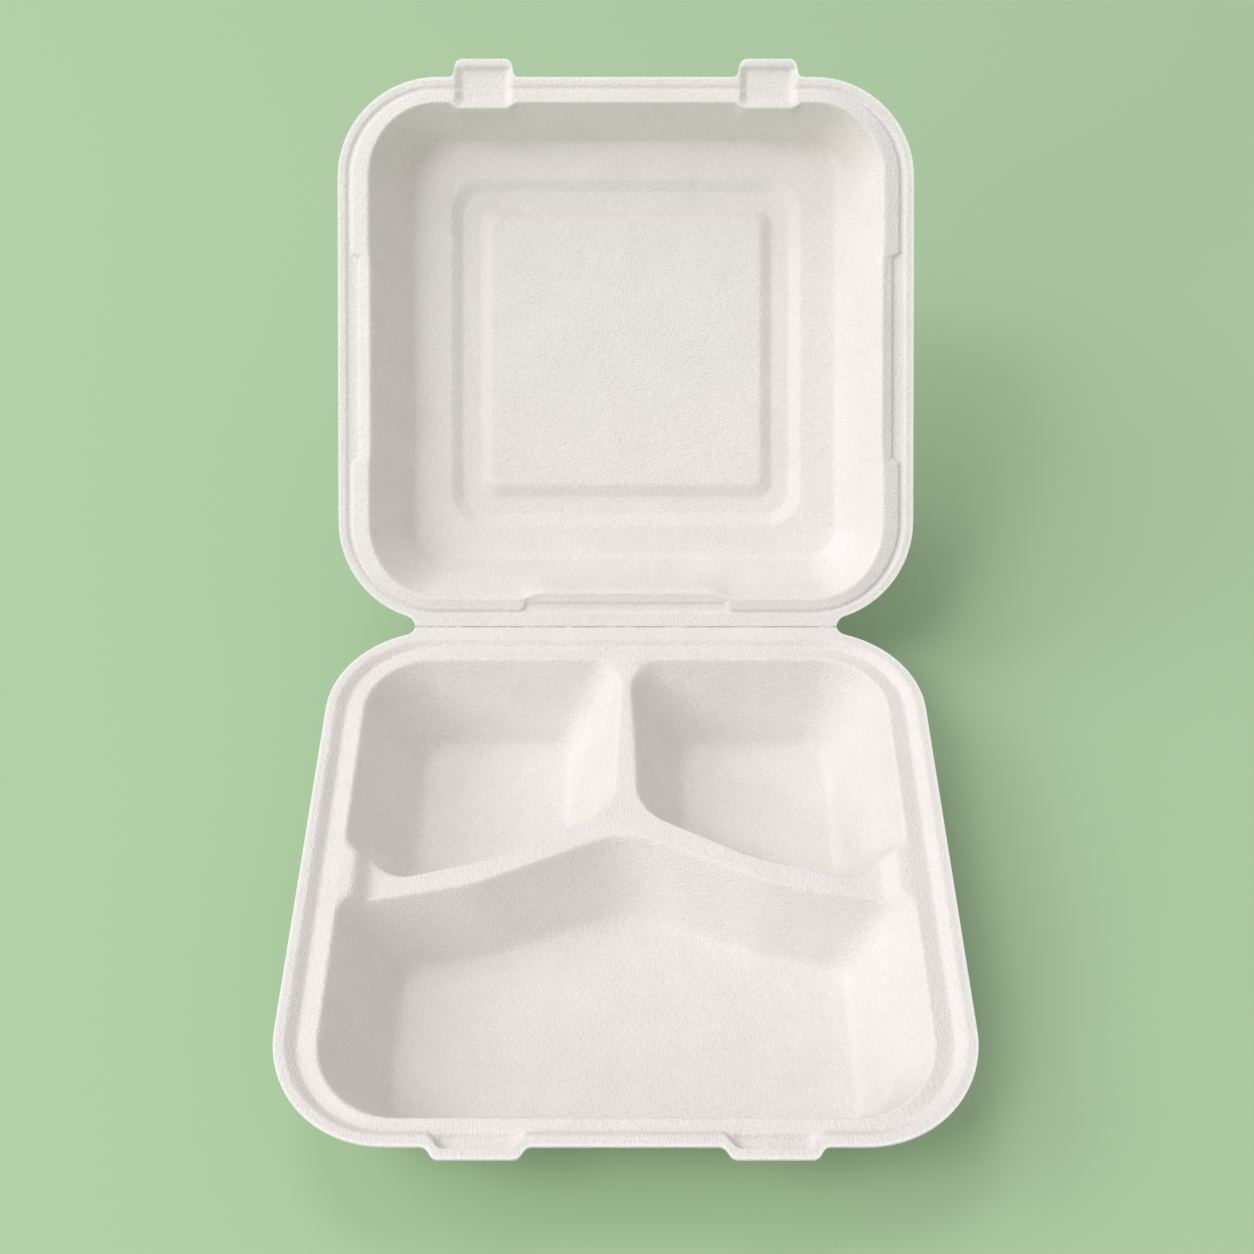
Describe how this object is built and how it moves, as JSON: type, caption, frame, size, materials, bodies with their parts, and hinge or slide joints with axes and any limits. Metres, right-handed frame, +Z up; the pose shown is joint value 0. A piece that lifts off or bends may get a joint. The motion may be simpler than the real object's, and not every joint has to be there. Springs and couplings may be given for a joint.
{
  "type": "three-compartment clamshell food container",
  "caption": "Square moulded-pulp takeaway box with a hinged lid standing open and divided wells in its base.",
  "frame": {"origin": "on the table, under the middle of the front compartment's floor", "axes": "+Z up, front edge towards -Y, crease and open lid towards +Y, +X to the right seen from the front"},
  "size_m": [0.23, 0.3883, 0.1959],
  "materials": {
    "pulp_base": "matt moulded pulp",
    "pulp_lid": "matt moulded pulp"
  },
  "bodies": {
    "base": {"base": "pulp_base"},
    "lid": {"lid": "pulp_lid"}
  },
  "joints": [
    {"name": "lid_crease", "type": "hinge", "parent": "base", "child": "lid", "pos_m": [0, 0.15375, 0.04015], "axis": [1, 0, 0], "range_deg": [-43.5, 136.5]}
  ]
}
